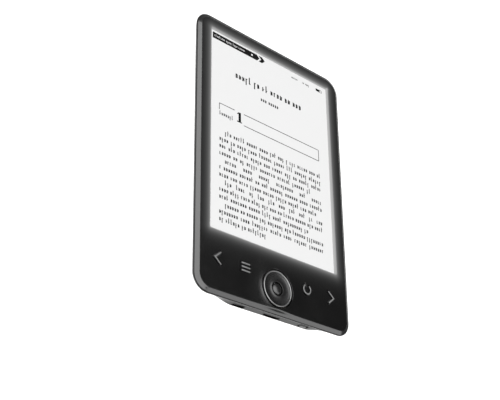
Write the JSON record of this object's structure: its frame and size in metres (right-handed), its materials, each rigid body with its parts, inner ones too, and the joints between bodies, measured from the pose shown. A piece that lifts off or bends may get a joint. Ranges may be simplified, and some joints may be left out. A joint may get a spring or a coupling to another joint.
{
  "type": "e-reader",
  "caption": "Flat rectangular electronic-paper reader with page keys, a round rocking navigation pad, a push power button, and USB and memory card slots.",
  "frame": {"origin": "on the plane of the flat back, under the middle of the case's outline", "axes": "+Z out of the screen, +Y towards the top end, +X to the reader's right; the device lies on its back"},
  "size_m": [0.112, 0.169, 0.0091],
  "materials": {
    "case_plastic": "fine satin texture, black",
    "grip_plastic": "satin black with moulded dots",
    "key_plastic": "satin dark grey",
    "bright_rim": "satin bright trim",
    "screen_film": "anti-glare clear",
    "light_guide": "clear",
    "paper_white": "matt paper white",
    "backplane_glass": "grey glass",
    "tape_black": "matt black foam tape",
    "frame_metal": "die-cast, matt",
    "polyimide": "amber film",
    "board_green": "solder mask green",
    "steel": "stamped steel",
    "chip_black": "moulded epoxy",
    "socket_black": "moulded black",
    "cell_silver": "pouch foil",
    "lead_red": "silicone wire"
  },
  "bodies": {
    "housing": {"front_bezel": "case_plastic", "rear_shell": "case_plastic", "grip_panel": "grip_plastic", "page_back_dome": "steel", "menu_dome": "steel", "return_dome": "steel", "page_forward_dome": "steel", "nav_up_dome": "steel", "nav_down_dome": "steel", "nav_left_dome": "steel", "nav_right_dome": "steel", "ok_dome": "steel", "key_board": "polyimide", "screen_film": "screen_film", "light_guide": "light_guide", "light_strip": "polyimide", "ink_film": "paper_white", "backplane_glass": "backplane_glass", "display_driver": "chip_black", "display_tape": "tape_black", "display_flex": "polyimide", "mid_frame": "frame_metal", "mainboard": "board_green", "display_connector": "socket_black", "processor_shield": "steel", "memory_chip": "chip_black", "power_chip": "chip_black", "usb_socket": "steel", "usb_tongue": "socket_black", "card_socket_base": "socket_black", "card_socket_cover": "steel", "power_switch": "socket_black", "battery": "cell_silver", "battery_tape": "tape_black", "battery_board": "board_green", "battery_lead_red": "lead_red", "battery_lead_black": "tape_black", "battery_connector": "paper_white", "case_screw_1": "steel", "case_screw_2": "steel", "case_screw_3": "steel", "case_screw_4": "steel", "case_screw_5": "steel", "case_screw_6": "steel", "case_screw_7": "steel", "case_screw_8": "steel", "board_screw_1": "steel", "board_screw_2": "steel"},
    "page_back_key": {"page_back_key": "key_plastic"},
    "menu_key": {"menu_key": "key_plastic"},
    "return_key": {"return_key": "key_plastic"},
    "page_forward_key": {"page_forward_key": "key_plastic"},
    "ok_button": {"ok_button": "key_plastic"},
    "power_button": {"power_button": "key_plastic"},
    "nav_carrier": {"nav_carrier": "steel"},
    "nav_pad": {"nav_ring": "case_plastic", "nav_rim": "bright_rim"}
  },
  "joints": [
    {"name": "page_back_key_press", "type": "slide", "parent": "housing", "child": "page_back_key", "axis": [0, 0, -1], "range_m": [0, 0.00035], "stiffness_N_per_m": 1500},
    {"name": "menu_key_press", "type": "slide", "parent": "housing", "child": "menu_key", "axis": [0, 0, -1], "range_m": [0, 0.00035], "stiffness_N_per_m": 1500},
    {"name": "return_key_press", "type": "slide", "parent": "housing", "child": "return_key", "axis": [0, 0, -1], "range_m": [0, 0.00035], "stiffness_N_per_m": 1500},
    {"name": "page_forward_key_press", "type": "slide", "parent": "housing", "child": "page_forward_key", "axis": [0, 0, -1], "range_m": [0, 0.00035], "stiffness_N_per_m": 1500},
    {"name": "ok_button_press", "type": "slide", "parent": "housing", "child": "ok_button", "axis": [0, 0, -1], "range_m": [0, 0.0003], "stiffness_N_per_m": 1500},
    {"name": "power_button_press", "type": "slide", "parent": "housing", "child": "power_button", "axis": [0, 1, 0], "range_m": [0, 0.0004], "stiffness_N_per_m": 1500},
    {"name": "nav_rock_up_down", "type": "hinge", "parent": "housing", "child": "nav_carrier", "pos_m": [0, -0.0699, 0.0065], "axis": [1, 0, 0], "range_deg": [-1.5, 1.5], "stiffness_Nm_per_rad": 0.3},
    {"name": "nav_rock_left_right", "type": "hinge", "parent": "nav_carrier", "child": "nav_pad", "pos_m": [0, -0.0699, 0.0074], "axis": [0, 1, 0], "range_deg": [-1.5, 1.5], "stiffness_Nm_per_rad": 0.3}
  ]
}
